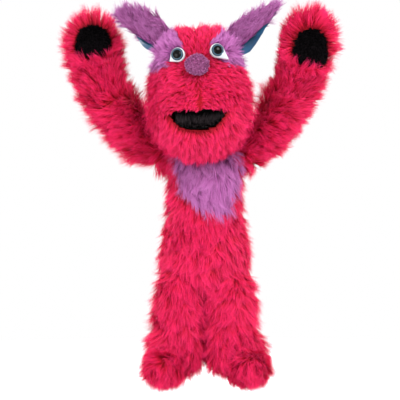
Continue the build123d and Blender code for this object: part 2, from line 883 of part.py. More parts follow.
for side in SIDES:
    leg_top = leg_point(side, hip)
    leg_end = leg_point(side, ankle)
    start_inner = hip_ball_radius - limb_pelt_wall
    end_inner = thigh_end_radius - limb_pelt_wall
    ankle_cup = ankle_radius + running_gap
    with BuildPart() as thigh_stuffing:
        limb_stump(leg_top, leg_end, start_inner, end_inner, ankle_cup + limb_pelt_wall)
    finish(thigh_stuffing.part, f"thigh_stuffing_{side}")

    with BuildPart() as thigh_pelt:
        limb_stump(leg_top, leg_end, hip_ball_radius, thigh_end_radius, ankle_trim, cup=ankle_cup)
        add(thigh_stuffing.part, mode=Mode.SUBTRACT)
    finish(thigh_pelt.part, f"thigh_pelt_{side}")

    with BuildPart() as foot_stuffing:
        foot_shape(side, limb_pelt_wall)
    finish(foot_stuffing.part, f"foot_stuffing_{side}")

    with BuildPart() as foot_pelt:
        foot_shape(side, 0)
        foot_shape(side, limb_pelt_wall, mode=Mode.SUBTRACT)
    finish(foot_pelt.part, f"foot_pelt_{side}")
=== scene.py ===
import json
import math

import bpy
import numpy as np
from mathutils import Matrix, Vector
from mathutils.kdtree import KDTree

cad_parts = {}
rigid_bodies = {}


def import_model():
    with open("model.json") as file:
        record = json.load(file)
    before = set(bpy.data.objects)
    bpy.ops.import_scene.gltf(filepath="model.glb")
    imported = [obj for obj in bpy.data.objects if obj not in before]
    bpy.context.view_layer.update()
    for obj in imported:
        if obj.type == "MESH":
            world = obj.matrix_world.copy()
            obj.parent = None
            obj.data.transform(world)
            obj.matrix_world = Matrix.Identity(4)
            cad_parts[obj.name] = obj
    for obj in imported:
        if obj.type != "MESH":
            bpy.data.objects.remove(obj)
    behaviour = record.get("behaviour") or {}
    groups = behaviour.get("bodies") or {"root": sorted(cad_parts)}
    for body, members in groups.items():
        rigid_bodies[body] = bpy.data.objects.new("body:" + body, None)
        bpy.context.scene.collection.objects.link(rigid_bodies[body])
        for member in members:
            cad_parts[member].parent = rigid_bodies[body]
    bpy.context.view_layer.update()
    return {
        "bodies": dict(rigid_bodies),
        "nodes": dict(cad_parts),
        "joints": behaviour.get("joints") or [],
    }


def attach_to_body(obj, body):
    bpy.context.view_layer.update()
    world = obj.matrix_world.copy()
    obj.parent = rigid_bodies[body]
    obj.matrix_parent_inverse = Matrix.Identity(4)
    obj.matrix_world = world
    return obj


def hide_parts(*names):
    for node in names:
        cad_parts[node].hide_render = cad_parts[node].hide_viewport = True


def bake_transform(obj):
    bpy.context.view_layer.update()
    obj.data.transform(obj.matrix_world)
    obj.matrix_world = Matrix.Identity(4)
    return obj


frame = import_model()
joints = {j["name"]: j for j in frame["joints"]}
MM = 0.001
SIDES = {"west": -1, "east": 1}
THIN = 1.0


# ---------------------------------------------------------------- geometry

def vec(*p):
    return np.array(p, float)


def unit(v):
    v = np.asarray(v, float)
    return v / np.maximum(np.linalg.norm(v, axis=-1, keepdims=True), 1e-12)


def joint_place(name):
    """A joint's pivot in millimetres."""
    return vec(*joints[name]["pos_m"]) * 1000


neck = joint_place("head_nod")
head_x = vec(*joints["head_nod"]["axis"])
head_y = vec(0, 1, 0)
head_z = np.cross(head_x, head_y)
AXIS_Y = -52.0


def in_head(p):
    """Head-frame millimetres to row-frame millimetres."""
    p = np.asarray(p, float)
    return neck + p[..., :1] * head_x + p[..., 1:2] * head_y + p[..., 2:3] * head_z


def to_head(p):
    q = np.asarray(p, float) - neck
    return np.stack([q @ head_x, q @ head_y, q @ head_z], -1)


def shade_smooth(obj):
    obj.data.polygons.foreach_set("use_smooth", np.ones(len(obj.data.polygons), bool))
    obj.data.update()


def new_mesh(name, verts_mm, faces):
    """A smooth-shaded object from vertices in millimetres."""
    mesh = bpy.data.meshes.new(name)
    mesh.from_pydata([tuple(v) for v in np.asarray(verts_mm) * MM], [], [tuple(f) for f in faces])
    obj = bpy.data.objects.new(name, mesh)
    bpy.context.scene.collection.objects.link(obj)
    shade_smooth(obj)
    return obj


def reshape(obj, verts_mm):
    """Give a mesh new vertex places in millimetres."""
    obj.data.vertices.foreach_set("co", (verts_mm * MM).astype(np.float32).ravel())
    obj.data.update()


def grid_faces(rows, across):
    """Faces of a sheet whose vertices come row by row."""
    return [
        (j * across + i, j * across + i + 1, (j + 1) * across + i + 1, (j + 1) * across + i)
        for j in range(rows - 1) for i in range(across - 1)
    ]


def capsule(a, b, ra, rb, rings=9, around=28):
    """A tapered round bar with rounded ends, as vertices and faces."""
    a, b = np.asarray(a, float), np.asarray(b, float)
    along = unit(b - a)
    side = unit(np.cross(along, vec(0, 1, 0) if abs(along[1]) < 0.9 else vec(1, 0, 0)))
    up = np.cross(along, side)
    reach = np.linalg.norm(b - a)
    rows = []
    for i in range(rings):
        t = -math.pi / 2 + (math.pi / 2) * i / (rings - 1)
        rows.append((ra * math.sin(t), max(ra * math.cos(t), 0.02)))
    for i in range(1, 8):
        rows.append((reach * i / 8, ra + (rb - ra) * i / 8))
    for i in range(rings):
        t = (math.pi / 2) * i / (rings - 1)
        rows.append((reach + rb * math.sin(t), max(rb * math.cos(t), 0.02)))
    return turned(a, along, side, up, rows, around)


def turned(origin, along, side, up, rows, around=48):
    verts, faces = [], []
    for h, r in rows:
        for k in range(around):
            t = 2 * math.pi * k / around
            verts.append(origin + along * h + r * (side * math.cos(t) + up * math.sin(t)))
    for i in range(len(rows) - 1):
        for k in range(around):
            n = (k + 1) % around
            faces.append((i * around + k, i * around + n, (i + 1) * around + n, (i + 1) * around + k))
    faces.append(tuple(range(around))[::-1])
    faces.append(tuple((len(rows) - 1) * around + k for k in range(around)))
    return np.array(verts), faces


def spread_rows(points, steps=60):
    """A smooth outline through (height, radius) points."""
    p = np.array(points, float)
    t = np.concatenate([[0], np.cumsum(np.linalg.norm(np.diff(p, axis=0), axis=1))])
    out = []
    fine = np.linspace(0, t[-1], steps)
    m = np.gradient(p, t, axis=0)
    for f in fine:
        i = min(np.searchsorted(t, f, "right") - 1, len(t) - 2)
        h = t[i + 1] - t[i]
        u = (f - t[i]) / h
        out.append(
            (2 * u**3 - 3 * u**2 + 1) * p[i]
            + (u**3 - 2 * u**2 + u) * h * m[i]
            + (-2 * u**3 + 3 * u**2) * p[i + 1]
            + (u**3 - u**2) * h * m[i + 1]
        )
    return [(a, max(b, 0.02)) for a, b in out]


def soft_union(name, shapes, voxel, smooth):
    """One closed soft skin round several shapes."""
    verts, faces, start = [], [], 0
    for v, f in shapes:
        verts.append(v)
        faces += [tuple(i + start for i in face) for face in f]
        start += len(v)
    obj = new_mesh(name, np.concatenate(verts), faces)
    bpy.context.view_layer.objects.active = obj
    remesh = obj.modifiers.new("remesh", "REMESH")
    remesh.mode = "VOXEL"
    remesh.voxel_size = voxel * MM
    soften = obj.modifiers.new("soften", "SMOOTH")
    soften.factor = 0.5
    soften.iterations = smooth
    dg = bpy.context.evaluated_depsgraph_get()
    mesh = bpy.data.meshes.new_from_object(obj.evaluated_get(dg))
    obj.modifiers.clear()
    obj.data = mesh
    shade_smooth(obj)
    return obj


def arrays(obj):
    """Vertices in millimetres, triangles and vertex normals."""
    mesh = obj.data
    mesh.calc_loop_triangles()
    v = np.empty(len(mesh.vertices) * 3, np.float32)
    mesh.vertices.foreach_get("co", v)
    n = np.empty(len(mesh.vertices) * 3, np.float32)
    mesh.vertices.foreach_get("normal", n)
    t = np.empty(len(mesh.loop_triangles) * 3, np.int32)
    mesh.loop_triangles.foreach_get("vertices", t)
    return v.reshape(-1, 3).astype(float) * 1000, t.reshape(-1, 3), n.reshape(-1, 3).astype(float)


def keep_faces(source, name, wanted):
    """A copy of a skin with only the faces whose middle is wanted."""
    mesh = source.data
    v, _, _ = arrays(source)
    polys = [tuple(p.vertices) for p in mesh.polygons]
    middles = np.array([v[list(p)].mean(0) for p in polys])
    keep = wanted(middles)
    used = sorted({i for p, k in zip(polys, keep) if k for i in p})
    where = {old: new for new, old in enumerate(used)}
    return new_mesh(name, v[used], [tuple(where[i] for i in p) for p, k in zip(polys, keep) if k])


def wave(p, scale, seed):
    """Smooth noise from -1 to 1 made of seeded waves; scale is in millimetres."""
    r = np.random.default_rng(seed)
    total = np.zeros(len(p))
    for octave in range(3):
        for _ in range(5):
            k = unit(r.normal(size=3)) * (2 * math.pi / scale) * (1.9**octave)
            total += np.sin(p @ k + r.uniform(0, 6.3)) / (1.6**octave)
    return np.clip(total / 4.5, -1, 1)


# ---------------------------------------------------------------- materials

def nodes_of(name):
    mat = bpy.data.materials.new(name)
    mat.use_nodes = True
    nt = mat.node_tree
    nt.nodes.clear()
    out = nt.nodes.new("ShaderNodeOutputMaterial")
    bsdf = nt.nodes.new("ShaderNodeBsdfPrincipled")
    nt.links.new(bsdf.outputs[0], out.inputs[0])
    return mat, nt, bsdf


def srgb(r, g, b):
    """A colour given as 0-255 screen values, in linear light."""
    def lin(c):
        c /= 255
        return c / 12.92 if c <= 0.04045 else ((c + 0.055) / 1.055) ** 2.4
    return (lin(r), lin(g), lin(b), 1)


def ramp(nt, source, stops):
    node = nt.nodes.new("ShaderNodeValToRGB")
    nt.links.new(source, node.inputs[0])
    el = node.color_ramp.elements
    while len(el) < len(stops):
        el.new(0.5)
    for e, (pos, col) in zip(el, stops):
        e.position = pos
        e.color = col
    return node.outputs[0]


def multiply(nt, a, b):
    node = nt.nodes.new("ShaderNodeMix")
    node.data_type = "RGBA"
    node.blend_type = "MULTIPLY"
    node.inputs[0].default_value = 1.0
    nt.links.new(a, node.inputs[6])
    nt.links.new(b, node.inputs[7])
    return node.outputs[2]


def map_axes(nt):
    """Both axes of a piece's own map."""
    uv = nt.nodes.new("ShaderNodeUVMap")
    uv.uv_map = "OFBake"
    split = nt.nodes.new("ShaderNodeSeparateXYZ")
    nt.links.new(uv.outputs[0], split.inputs[0])
    return split.outputs


def fur_material(name, root, middle, tip, sheen=0.12, rough=0.65, shine=0.2):
    """Fur colour from each hair's own map: u is its tone and v runs from root to tip. The dark root is
    painted shade deep in the pile and the light tip a painted highlight; the middle is the fur's own colour.
    """
    mat, nt, bsdf = nodes_of(name)
    axes = map_axes(nt)
    # Dark roots are painted shade in the pile and light tips a painted highlight, round the fur's own colour
    # in the middle
    along = ramp(nt, axes[1], [(0.0, root), (0.35, middle), (1.0, tip)])
    tone = ramp(nt, axes[0], [
        (0.0, (0.70, 0.64, 0.64, 1)), (0.5, (0.93, 0.92, 0.92, 1)), (1.0, (1, 1, 1, 1)),
    ])
    nt.links.new(multiply(nt, along, tone), bsdf.inputs["Base Color"])
    bsdf.inputs["Roughness"].default_value = rough
    bsdf.inputs["Sheen Weight"].default_value = sheen
    bsdf.inputs["Sheen Tint"].default_value = tip
    bsdf.inputs["Specular IOR Level"].default_value = shine
    return mat


def cloth_material(name, dark, light, scale, rough=0.9, bump=0.3, shine=0.15, kind="noise"):
    """Cloth with a procedural grain and a fine bump."""
    mat, nt, bsdf = nodes_of(name)
    coord = nt.nodes.new("ShaderNodeTexCoord")
    if kind == "weave":
        tex = nt.nodes.new("ShaderNodeTexWave")
        tex.inputs["Distortion"].default_value = 1.5
    else:
        tex = nt.nodes.new("ShaderNodeTexNoise")
        tex.inputs["Detail"].default_value = 4
    tex.inputs["Scale"].default_value = scale
    value = tex.outputs["Fac"]
    nt.links.new(coord.outputs["Object"], tex.inputs["Vector"])
    nt.links.new(ramp(nt, value, [(0.3, dark), (0.7, light)]), bsdf.inputs["Base Color"])
    b = nt.nodes.new("ShaderNodeBump")
    b.inputs["Strength"].default_value = bump
    b.inputs["Distance"].default_value = 0.001
    nt.links.new(value, b.inputs["Height"])
    nt.links.new(b.outputs[0], bsdf.inputs["Normal"])
    bsdf.inputs["Roughness"].default_value = rough
    bsdf.inputs["Specular IOR Level"].default_value = shine
    return mat


# Each fur below is dark at the root, painted shade, and light at the tip, a painted highlight; its middle
# stop is the fur's own colour
red_fur = fur_material("red_fur", srgb(132, 6, 22), srgb(206, 17, 56), srgb(240, 40, 110))
purple_fur = fur_material("purple_fur", srgb(104, 48, 100), srgb(170, 86, 156), srgb(206, 128, 196))
MATT = {"sheen": 0.0, "rough": 0.9, "shine": 0.05}
black_fur = fur_material("black_fur", srgb(2, 2, 2), srgb(6, 5, 6), srgb(24, 19, 23), **MATT)
mouth_fur = fur_material("mouth_fur", srgb(1, 1, 1), srgb(10, 9, 10), srgb(70, 62, 66), **MATT)
ear_fur = fur_material("ear_fur", srgb(92, 42, 90), srgb(146, 72, 132), srgb(188, 114, 178))
nose_fuzz = fur_material("nose_fuzz", srgb(84, 34, 68), srgb(140, 70, 118), srgb(192, 124, 176), **MATT)
red_backing = cloth_material("red_backing", srgb(112, 4, 14), srgb(146, 8, 26), 420)
purple_backing = cloth_material("purple_backing", srgb(78, 34, 78), srgb(104, 50, 102), 420)
black_backing = cloth_material("black_backing", srgb(2, 2, 2), srgb(6, 5, 6), 500, shine=0.03)
satin = cloth_material("blue_satin", srgb(8, 18, 36), srgb(40, 86, 122), 38, rough=0.35, bump=0.12, shine=0.5)
velour = cloth_material("purple_velour", srgb(92, 40, 74), srgb(140, 70, 116), 700)
cotton = cloth_material("lining_cotton", srgb(70, 10, 20), srgb(104, 18, 32), 900, kind="weave")
tape = cloth_material("label_tape", srgb(214, 214, 208), srgb(236, 236, 230), 1400, kind="weave")


def gloss(name, dark, light, scale, rough, coat=0.6, shine=0.5):
    """Moulded plastic with a faint mottling, under a clear coat."""
    mat, nt, bsdf = nodes_of(name)
    coord = nt.nodes.new("ShaderNodeTexCoord")
    tex = nt.nodes.new("ShaderNodeTexNoise")
    tex.inputs["Scale"].default_value = scale
    nt.links.new(coord.outputs["Object"], tex.inputs["Vector"])
    nt.links.new(ramp(nt, tex.outputs["Fac"], [(0.35, dark), (0.65, light)]), bsdf.inputs["Base Color"])
    bsdf.inputs["Roughness"].default_value = rough
    bsdf.inputs["Coat Weight"].default_value = coat
    bsdf.inputs["Coat Roughness"].default_value = 0.04
    bsdf.inputs["Specular IOR Level"].default_value = shine
    return mat


eye_white_mat = gloss("eye_white_plastic", srgb(172, 178, 186), srgb(194, 198, 204), 60, rough=0.25, coat=0.3)
iris_mat, iris_nt, iris_bsdf = nodes_of("iris_plastic")
iris_rings = ramp(iris_nt, map_axes(iris_nt)[0], [
    (0.58, srgb(22, 38, 50)), (0.70, srgb(54, 80, 96)), (0.79, srgb(38, 58, 70)), (0.85, srgb(8, 14, 18)),
])
iris_nt.links.new(iris_rings, iris_bsdf.inputs["Base Color"])
iris_bsdf.inputs["Roughness"].default_value = 0.12
iris_bsdf.inputs["Specular IOR Level"].default_value = 0.25
pupil_mat = gloss("pupil_plastic", srgb(2, 2, 3), srgb(6, 6, 8), 80, rough=0.1, coat=0.0, shine=0.12)
washer_mat = gloss("washer_plastic", srgb(190, 190, 188), srgb(206, 206, 204), 120, rough=0.4)


def dress(obj, mat):
    obj.data.materials.clear()
    obj.data.materials.append(mat)


# ---------------------------------------------------------------- fur

def grow_roots(skin, count, seed):
    """Evenly spread places on a skin with their smooth normals."""
    r = np.random.default_rng(seed)
    v, t, n = arrays(skin)
    a, b, c = v[t[:, 0]], v[t[:, 1]], v[t[:, 2]]
    area = np.linalg.norm(np.cross(b - a, c - a), axis=1) / 2
    pick = r.choice(len(t), size=count, p=area / area.sum())
    u, w = r.random(count), r.random(count)
    flip = u + w > 1
    u[flip], w[flip] = 1 - u[flip], 1 - w[flip]
    k = 1 - u - w
    roots = a[pick] * k[:, None] + b[pick] * u[:, None] + c[pick] * w[:, None]
    normals = unit(n[t[pick, 0]] * k[:, None] + n[t[pick, 1]] * u[:, None] + n[t[pick, 2]] * w[:, None])
    return roots, normals


def skin_area(skin):
    """A skin's area in square millimetres."""
    v, t, _ = arrays(skin)
    a, b, c = v[t[:, 0]], v[t[:, 1]], v[t[:, 2]]
    return float(np.linalg.norm(np.cross(b - a, c - a), axis=1).sum() / 2)


SIZE_SPREAD = 0.21


def groom(
    name, skin, mat, density, length, comb, seed,
    lift, droop, spread=16, curl=0.12, clump=0.4, per_clump=16,
    width=0.5, segments=5, tone_scale=26, keep=None, length_map=None, lift_map=None,
):
    """Grow tapered hairs on a skin. density is hairs per square centimetre and length is in millimetres."""
    r = np.random.default_rng(seed)
    count = int(max(60, skin_area(skin) / 100 * density * THIN))
    roots, normals = grow_roots(skin, count, seed)
    if keep is not None:
        chosen = keep(roots)
        roots, normals = roots[chosen], normals[chosen]
    count = len(roots)
    flow = comb(roots, normals)
    flow = flow - normals * (flow * normals).sum(1, keepdims=True)
    flow = unit(flow + 1e-6)
    side = np.cross(normals, flow)
    clumps = max(4, count // per_clump)
    tree = KDTree(clumps)
    for i in range(clumps):
        tree.insert(roots[i], i)
    tree.balance()
    home = np.array([tree.find(p)[1] for p in roots])
    # Hairs of a clump lean and turn together, and each a little its own way
    swing = np.radians(r.normal(0, spread, clumps)[home] + r.normal(0, spread * 0.45, count))
    swing = swing + np.radians(38) * wave(roots, 46, seed + 3)
    rise = np.radians(lift) * (1 + 0.3 * r.normal(0, 1, clumps)[home] + 0.16 * r.normal(0, 1, count))
    if lift_map is not None:
        rise = rise * lift_map(roots)
    rise = np.clip(rise, np.radians(8), np.radians(88))
    along = flow * np.cos(swing)[:, None] + side * np.sin(swing)[:, None]
    heading = normals * np.sin(rise)[:, None] + along * np.cos(rise)[:, None]
    size = length * (1 + SIZE_SPREAD * (r.normal(0, 1, clumps)[home] + r.normal(0, 1, count)))
    size = np.clip(size, length * 0.5, length * 1.4)
    if length_map is not None:
        size = size * length_map(roots, normals)
    step = size / segments
    down = vec(0, 0, -1)
    r.random(count)  # keeps the seeded draws in step
    bend = r.normal(0, 1, (count, 3)) * curl + r.normal(0, 1, (clumps, 3))[home] * curl
    # Each hair starts just under the skin, droops and bends as it grows
    path = [roots - normals * 0.6]
    for k in range(segments):
        share = (k + 1) / segments
        path.append(path[-1] + heading * step[:, None])
        heading = unit(heading + down * droop * share / segments * 3 + bend * share - normals * 0.10 * share)
    path = np.stack(path, 1)
    # The tips gather towards the clump's first hair
    lead = path[:clumps][home]
    pull = clump * (np.arange(segments + 1) / segments) ** 1.4
    gathered = lead + (roots - roots[home])[:, None, :] * 0.25
    path = path * (1 - pull[None, :, None]) + gathered * pull[None, :, None]
    return hair_mesh(name, path, normals, mat, width, r, home, clumps, roots, tone_scale, seed)


def hair_mesh(name, path, normals, mat, width, r, home, clumps, roots, tone_scale, seed):
    """Flat tapered ribbons along the paths, in one mesh with its own tone map."""
    count, points = path.shape[:2]
    ahead = np.gradient(path, axis=1)
    across = unit(np.cross(ahead, normals[:, None, :]))
    roll = np.radians(r.normal(0, 35, count))[:, None, None]
    third = unit(np.cross(ahead, across))
    across = across * np.cos(roll) + third * np.sin(roll)
    s = np.linspace(0, 1, points)
    taper = (0.75 + 0.25 * np.sin(math.pi * s)) * (1 - s**2.2) + 0.05
    wide = width * (1 + 0.25 * r.normal(0, 1, count))[:, None] * taper[None, :] / 2
    left = path - across * wide[..., None]
    right = path + across * wide[..., None]
    verts = np.stack([left, right], 2).reshape(-1, 3) * MM
    base = (np.arange(count) * points * 2)[:, None] + (np.arange(points - 1) * 2)[None, :]
    quads = np.stack([base, base + 1, base + 3, base + 2], -1).reshape(-1)
    faces = count * (points - 1)
    mesh = bpy.data.meshes.new(name)
    mesh.vertices.add(len(verts))
    mesh.vertices.foreach_set("co", verts.astype(np.float32).ravel())
    mesh.loops.add(faces * 4)
    mesh.loops.foreach_set("vertex_index", quads.astype(np.int32))
    mesh.polygons.add(faces)
    mesh.polygons.foreach_set("loop_start", np.arange(0, faces * 4, 4, dtype=np.int32))
    mesh.polygons.foreach_set("use_smooth", np.ones(faces, bool))
    tone = 0.5 + 0.2 * wave(roots, tone_scale, seed + 7)
    tone = tone + 0.13 * r.normal(0, 1, clumps)[home] + 0.1 * r.normal(0, 1, count)
    tone = np.clip(tone, 0.02, 0.98)
    u = np.repeat(tone[:, None], points * 2, 1).reshape(-1)
    v = np.repeat(np.clip(s, 0.01, 0.99)[None, :], count, 0)
    v = np.repeat(v[..., None], 2, 2).reshape(-1)
    layer = mesh.uv_layers.new(name="OFBake")
    uv = np.stack([u[quads], v[quads]], -1).astype(np.float32)
    layer.data.foreach_set("uv", uv.ravel())
    mesh.update(calc_edges=True)
    mesh.validate()
    obj = bpy.data.objects.new(name, mesh)
    bpy.context.scene.collection.objects.link(obj)
    dress(obj, mat)
    return obj


def toward(target):
    """Comb every hair one way."""
    def comb(p, n):
        return np.repeat(unit(np.asarray(target, float))[None], len(p), 0)
    return comb


# ---------------------------------------------------------------- body skin

TORSO_Y = -40.0
torso_rows = spread_rows([
    (-24, 2), (-21, 24), (-8, 42), (14, 49), (40, 46), (68, 41),
    (100, 39.5), (128, 39), (142, 37), (150, 28), (153, 4),
])
hem_out = vec(0, math.sin(math.radians(50)), -math.cos(math.radians(50)))
shoulder = {s: joint_place(f"shoulder_{s}") for s in SIDES}
elbow = {s: joint_place(f"elbow_{s}") for s in SIDES}
FOREARM = 54.0
FOREARM_LEAN = {"west": math.radians(78), "east": math.radians(77)}
paw = {
    s: elbow[s] + FOREARM * vec(o * math.cos(FOREARM_LEAN[s]), 0, math.sin(FOREARM_LEAN[s]))
    for s, o in SIDES.items()
}
hip = {s: joint_place(f"hip_{s}") for s in SIDES}
ankle = {s: joint_place(f"ankle_{s}") for s in SIDES}
heel = {"west": vec(-44, -68, -110), "east": vec(47, -68, -110)}
toe = {"west": vec(-49, -98, -114), "east": vec(54, -98, -114)}
pad_middle = {"west": vec(-136, 0, 279), "east": vec(128, 0, 272)}
pad_half = {"west": (17.5, 17.5), "east": (17.5, 21.0)}
PAD_Y = -46.0

shapes = [turned(vec(0, TORSO_Y, 0), vec(0, 0, 1), vec(1, 0, 0), vec(0, 1, 0), torso_rows)]
for s in SIDES:
    arm = unit(elbow[s] - shoulder[s])
    o = SIDES[s]
    shapes.append(capsule(shoulder[s] + vec(-8 * o, 0, 4), shoulder[s] + arm * 34, 15, 21))
    shapes.append(capsule(shoulder[s] + arm * 30, elbow[s], 21, 25))
    shapes.append(capsule(elbow[s], paw[s], 24.5, 27))
    shapes.append(capsule(hip[s] + vec(-3 * o, 6, 12), ankle[s] + vec(-3 * o, 0, 0), 26, 26))
    shapes.append(capsule(ankle[s] + vec(-2 * o, 0, 0), heel[s], 25, 22))
    shapes.append(capsule(ankle[s] + vec(2 * o, -2, 16), heel[s], 24, 23))
    shapes.append(capsule(heel[s] + vec(0, 0, 1), toe[s] + vec(0, 0, 2), 22, 18))
body = soft_union("body_source", shapes, 4.0, 8)
co, _, _ = arrays(body)
past = co @ hem_out
at_hem = (past > -0.5) & (co[:, 2] > -60) & (co[:, 1] > -45)
reshape(body, np.where(at_hem[:, None], co - hem_out * (past + 0.5)[:, None], co))


def zone(start, end):
    """How far points are from start to end, 0 to 1 and beyond."""
    start, end = np.asarray(start, float), np.asarray(end, float)
    d = end - start
    return lambda p: (p - start) @ d / (d @ d)


zones, ends = {}, {}
for s, o in SIDES.items():
    arm = unit(elbow[s] - shoulder[s])
    fore = unit(paw[s] - elbow[s])
    ends[f"upper_arm_{s}"] = (shoulder[s] - arm * 6, shoulder[s] + arm * 40)
    ends[f"forearm_{s}"] = (elbow[s] - arm * 24, elbow[s] + fore * 22)
    ends[f"thigh_{s}"] = (vec(o * 31, -64, -20), vec(o * 32, -63, -60))
    ends[f"foot_{s}"] = (ankle[s] + vec(0, 0, 14), ankle[s] + vec(0, 0, -14))
for part, (a, b) in ends.items():
    zones[part] = zone(a, b)


def near_leg(p, o):
    """Round one leg, in front of the body and on its own side of the middle."""
    return (np.abs(p[:, 0] - o * 34) < 35) & (p[:, 1] < -30) & (p[:, 0] * o > 0)


ARM_FROM = {"upper_arm": (20, 95), "forearm": (60, 150)}
HAND_HOLE_RADIUS = 37.0
HAND_HOLE_DEPTH = 6.0


def region(part):
    """Which points belong to a part of the body skin. Arms start out from the middle and above a height."""
    def wanted(p):
        if part == "torso":
            limbs = np.any([region(limb)(p) for limb in ends], axis=0)
            outward = p @ hem_out
            near = np.linalg.norm(p - outward[:, None] * hem_out, axis=1) < HAND_HOLE_RADIUS
            return ~limbs & ~(near & (outward > -HAND_HOLE_DEPTH))
        kind, s = part.rsplit("_", 1)
        o = SIDES[s]
        mine = zones[part](p) > 0
        if kind in ARM_FROM:
            out_from, up_from = ARM_FROM[kind]
            mine = mine & (p[:, 0] * o > out_from) & (p[:, 2] > up_from)
            return mine if kind == "forearm" else mine & ~region(f"forearm_{s}")(p)
        if kind == "foot":
            return mine & (p[:, 0] * o > 0)
        return mine & near_leg(p, o) & ~region(f"foot_{s}")(p)
    return wanted


def attach(obj, part):
    """Let a piece of the body follow its CAD body where it has one and lies on no limb; any other piece is
    only fixed where it stands.
    """
    if part in frame["bodies"] and part not in ends:
        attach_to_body(obj, part)
        return
    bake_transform(obj)


def in_pad(s, grow):
    """Which points lie in a paw's black pad, widened by some millimetres."""
    def inside(p):
        x = (p[:, 0] - pad_middle[s][0]) / (pad_half[s][0] + grow)
        z = (p[:, 2] - pad_middle[s][2]) / (pad_half[s][1] + grow)
        x = x * (1.0 + 0.22 * np.clip(z, -1, 0))
        return (x * x + z * z < 1) & (p[:, 1] < PAD_Y)
    return inside


def in_patch(p):
    """The purple panel on the chest: wide at the neck and pointed below."""
    z = p[:, 2]
    half = np.interp(z, [73, 84, 92, 102, 130], [-1, 16, 25, 30.5, 35])
    middle = np.interp(z, [73, 84, 92, 102], [22, 12, 6.5, 3.5])
    return (np.abs(p[:, 0] - middle) < half) & (p[:, 1] < TORSO_Y - 8)


def paw_comb(s):
    """Up and outward along the paw, and away from the pad all round it."""
    up = unit(unit(paw[s] - elbow[s]) + vec(0.45 * SIDES[s], 0, 0))

    def comb(p, n):
        away = (p - pad_middle[s]) * vec(1, 0, 1)
        reach = np.linalg.norm(away, axis=1)
        near = np.exp(-(np.maximum(reach - pad_half[s][1], 0) / 8) ** 2) * (p[:, 1] < -44)
        return unit(up * (1 - near[:, None]) + unit(away) * near[:, None])
    return comb


def leg_comb(spread):
    """Downward, and away from the leg's own middle to both sides."""
    def comb(p, n):
        out = np.stack([n[:, 0] * spread, np.minimum(n[:, 1], 0) * spread, -np.ones(len(p))], 1)
        return unit(out)
    return comb


def foot_comb(s):
    """Down round the heel and forward over the toe."""
    def comb(p, n):
        ahead = np.clip((-72 - p[:, 1]) / 14, 0, 1)[:, None]
        down = unit(vec(0.45 * SIDES[s], -0.25, -1))
        return unit(down * (1 - ahead) + unit(vec(0.25 * SIDES[s], -0.9, -0.6)) * ahead)
    return comb


def body_comb(part):
    """Which way the pile lies on each part."""
    if part == "torso":
        return toward((0, 0, -1))
    kind, s = part.rsplit("_", 1)
    if kind == "upper_arm":
        along = unit(elbow[s] - shoulder[s])
        return toward(along * 0.8 + vec(0.2 * SIDES[s], 0, -0.75))
    if kind == "forearm":
        return paw_comb(s)
    if kind == "thigh":
        return leg_comb(0.3)
    return foot_comb(s)


def body_length(part):
    """Shorter pile under the feet and in the armpits, longer round the paws."""
    def share(p, n):
        out = np.ones(len(p))
        if part.startswith("foot"):
            out *= 1 - 0.5 * np.clip(-n[:, 2] - 0.2, 0, 0.6)
        if part.startswith("forearm"):
            out *= 1 + 0.18 * np.clip(zones[part](p) * 0.6, 0, 1)
            inward = np.clip(-n[:, 0] * SIDES[part.rsplit("_", 1)[1]], 0, 1)
            outward = np.clip(n[:, 0] * SIDES[part.rsplit("_", 1)[1]], 0, 1)
            out *= 1 - 0.25 * outward - inward * (0.5 if part.endswith("east") else 0.3)
        if part.startswith("upper_arm"):
            under = np.clip(-n[:, 2], 0, 1)
            out *= 1 + under * (-0.3 if part.endswith("east") else 0.12)
        return out
    return share


def paw_lift(part):
    """The pile stands up more towards the end of a paw."""
    return lambda p: 1 + 0.7 * np.clip(zones[part](p) / 1.6 - 0.6, 0, 1)


BODY_DENSITY = 120


def add_body_part(part, length, lift, droop, seed, nodes):
    """Make one body part's skin, grow its fur and return the skin."""
    skin = keep_faces(body, f"skin_{part}", region(part))
    dress(skin, red_backing)
    attach(skin, part)
    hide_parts(*nodes)
    bare = None
    if part == "torso":
        bare = in_patch
    elif part.startswith("forearm"):
        bare = in_pad(part.rsplit("_", 1)[1], 1.5)
    keep = None if bare is None else lambda p: ~bare(p)
    fur = groom(
        f"fur_{part}", skin, red_fur, BODY_DENSITY, length, body_comb(part), seed,
        lift=lift, droop=droop, keep=keep, spread=20, length_map=body_length(part),
        lift_map=paw_lift(part) if part.startswith("forearm") else None,
    )
    attach(fur, part)
    return skin


